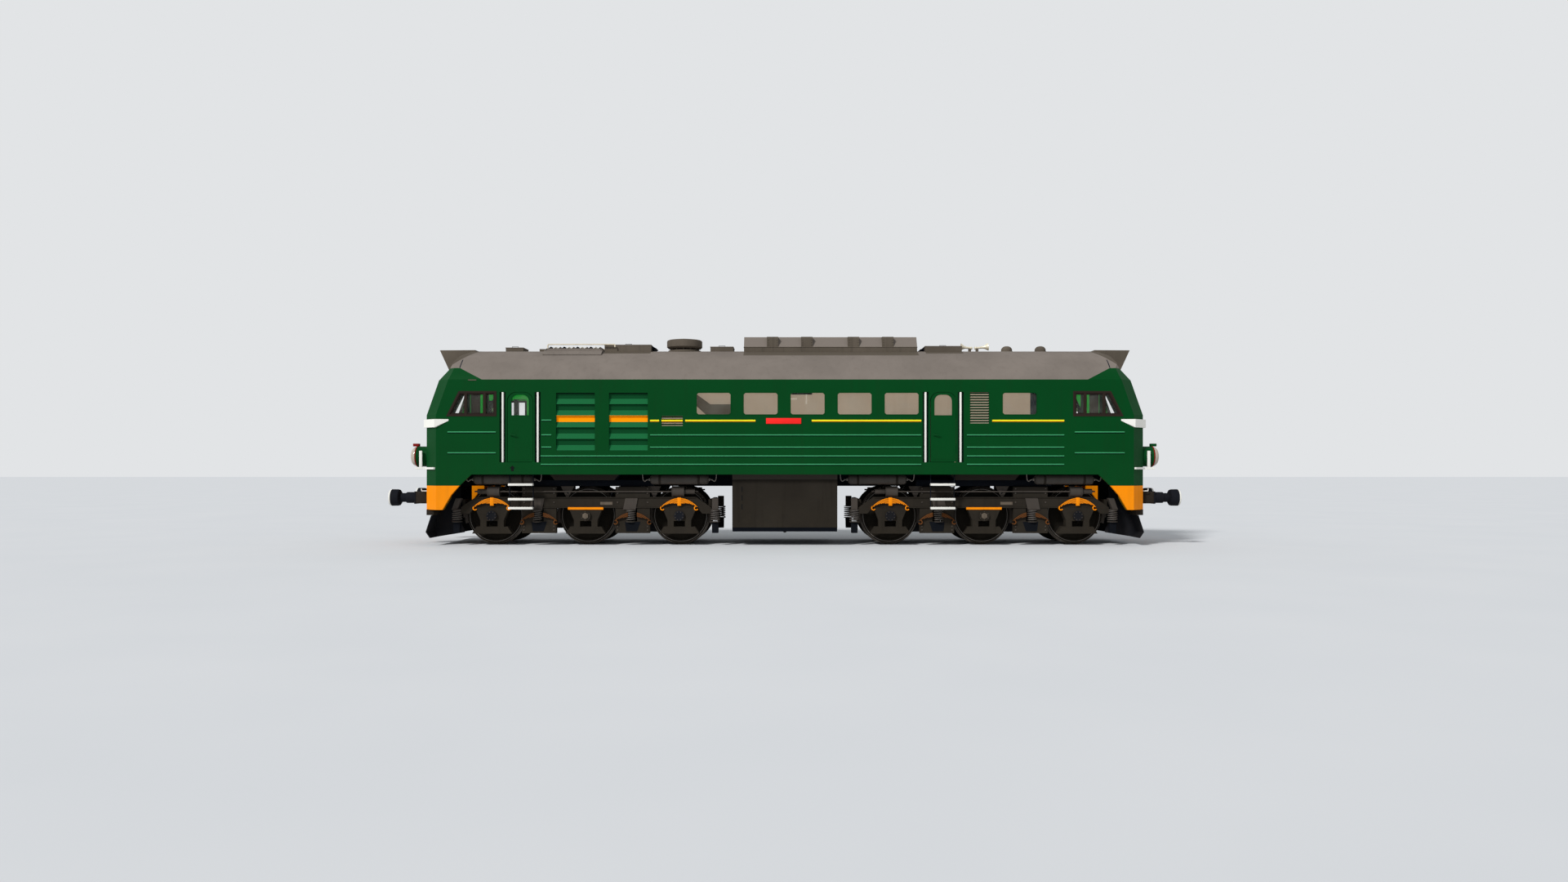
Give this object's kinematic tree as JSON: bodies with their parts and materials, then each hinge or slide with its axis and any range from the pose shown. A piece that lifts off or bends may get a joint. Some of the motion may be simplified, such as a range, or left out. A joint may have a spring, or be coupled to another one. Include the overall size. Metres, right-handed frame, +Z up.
{
  "type": "double-cab diesel locomotive",
  "caption": "Mainline diesel locomotive with a cab at each end, a hollow green body, side doors that open, swivelling bogies with turning wheelsets, a roof fan, buffers and ploughs.",
  "frame": {"origin": "middle of the locomotive at rail level, where the lowest points of the wheel flanges lie", "axes": "+X along the locomotive towards cab b, +Y across it to the left side, +Z up"},
  "size_m": [17.55, 2.95, 4.69],
  "materials": {
    "body_paint": "satin dark green paint",
    "shutter_paint": "satin green paint",
    "roof_paint": "matt warm grey paint",
    "roof_gear_paint": "matt brown-grey paint",
    "underframe_paint": "matt dark brown paint",
    "bogie_paint": "matt dark brown paint",
    "gear_paint": "matt grey paint",
    "apron_paint": "satin orange paint",
    "white_paint": "satin white paint",
    "frame_paint": "satin dark brown paint",
    "inner_paint": "satin tan paint",
    "desk_paint": "satin bright green paint",
    "engine_paint": "satin tan paint",
    "motor_paint": "satin grey paint",
    "seat_leather": "brown leather",
    "horn_brass": "polished brass",
    "wheel_steel": "machined and weathered steel",
    "glass": "clear glass"
  },
  "bodies": {
    "root": {"underframe": "underframe_paint", "bolsters": "underframe_paint", "headstocks": "underframe_paint", "side_wall_right": "body_paint", "side_wall_left": "body_paint", "cab_front_a": "body_paint", "cab_front_b": "body_paint", "end_aprons": "apron_paint", "roof": "roof_paint", "bulkheads": "inner_paint", "cab_desks": "desk_paint", "cab_seats": "seat_leather", "engine": "engine_paint", "side_shutters": "shutter_paint", "side_grilles": "shutter_paint", "window_frames": "frame_paint", "window_glass": "glass", "headlight_housings": "roof_paint", "nose_lamps": "body_paint", "silencer": "roof_gear_paint", "roof_hatches": "roof_gear_paint", "roof_vents": "roof_gear_paint", "fan_louvres": "roof_gear_paint", "horns": "horn_brass", "fuel_tank": "underframe_paint", "air_reservoirs": "gear_paint", "steps": "white_paint", "handrails": "white_paint", "ploughs": "gear_paint", "buffers": "gear_paint", "couplings": "wheel_steel"},
    "bogie_a": {"bogie_frame_a": "bogie_paint", "axleboxes_a": "bogie_paint", "springs_a": "gear_paint", "leaf_springs_a": "apron_paint", "brake_gear_a": "gear_paint", "traction_motors_a": "motor_paint"},
    "bogie_b": {"bogie_frame_b": "bogie_paint", "axleboxes_b": "bogie_paint", "springs_b": "gear_paint", "leaf_springs_b": "apron_paint", "brake_gear_b": "gear_paint", "traction_motors_b": "motor_paint"},
    "wheelset_a1": {"wheelset_a1": "wheel_steel"},
    "wheelset_a2": {"wheelset_a2": "wheel_steel"},
    "wheelset_a3": {"wheelset_a3": "wheel_steel"},
    "wheelset_b1": {"wheelset_b1": "wheel_steel"},
    "wheelset_b2": {"wheelset_b2": "wheel_steel"},
    "wheelset_b3": {"wheelset_b3": "wheel_steel"},
    "door_cab_right": {"door_cab_right": "body_paint", "door_glass_cab_right": "glass"},
    "door_cab_left": {"door_cab_left": "body_paint", "door_glass_cab_left": "glass"},
    "door_hall_right": {"door_hall_right": "body_paint", "door_glass_hall_right": "glass"},
    "door_hall_left": {"door_hall_left": "body_paint", "door_glass_hall_left": "glass"},
    "fan_rotor": {"fan_rotor": "gear_paint"}
  },
  "joints": [
    {"name": "bogie_a_pivot", "type": "hinge", "parent": "root", "child": "bogie_a", "pos_m": [-4.385, 0, 1.33], "axis": [0, 0, 1], "range_deg": [-4, 4]},
    {"name": "bogie_b_pivot", "type": "hinge", "parent": "root", "child": "bogie_b", "pos_m": [4.385, 0, 1.33], "axis": [0, 0, 1], "range_deg": [-4, 4]},
    {"name": "wheelset_a1_spin", "type": "hinge", "parent": "bogie_a", "child": "wheelset_a1", "pos_m": [-6.447, 0, 0.653], "axis": [0, 1, 0], "continuous": true},
    {"name": "wheelset_a2_spin", "type": "hinge", "parent": "bogie_a", "child": "wheelset_a2", "pos_m": [-4.385, 0, 0.653], "axis": [0, 1, 0], "continuous": true},
    {"name": "wheelset_a3_spin", "type": "hinge", "parent": "bogie_a", "child": "wheelset_a3", "pos_m": [-2.323, 0, 0.653], "axis": [0, 1, 0], "continuous": true},
    {"name": "wheelset_b1_spin", "type": "hinge", "parent": "bogie_b", "child": "wheelset_b1", "pos_m": [2.323, 0, 0.653], "axis": [0, 1, 0], "continuous": true},
    {"name": "wheelset_b2_spin", "type": "hinge", "parent": "bogie_b", "child": "wheelset_b2", "pos_m": [4.385, 0, 0.653], "axis": [0, 1, 0], "continuous": true},
    {"name": "wheelset_b3_spin", "type": "hinge", "parent": "bogie_b", "child": "wheelset_b3", "pos_m": [6.447, 0, 0.653], "axis": [0, 1, 0], "continuous": true},
    {"name": "door_cab_right_hinge", "type": "hinge", "parent": "root", "child": "door_cab_right", "pos_m": [-5.473, -1.391, 2.6], "axis": [0, 0, -1], "range_deg": [0, 88]},
    {"name": "door_cab_left_hinge", "type": "hinge", "parent": "root", "child": "door_cab_left", "pos_m": [-5.473, 1.391, 2.6], "axis": [0, 0, 1], "range_deg": [0, 88]},
    {"name": "door_hall_right_hinge", "type": "hinge", "parent": "root", "child": "door_hall_right", "pos_m": [3.717, -1.391, 2.6], "axis": [0, 0, -1], "range_deg": [0, 88]},
    {"name": "door_hall_left_hinge", "type": "hinge", "parent": "root", "child": "door_hall_left", "pos_m": [3.717, 1.391, 2.6], "axis": [0, 0, 1], "range_deg": [0, 88]},
    {"name": "fan_spin", "type": "hinge", "parent": "root", "child": "fan_rotor", "pos_m": [-4.76, 0, 4.08], "axis": [0, 0, 1], "continuous": true}
  ]
}
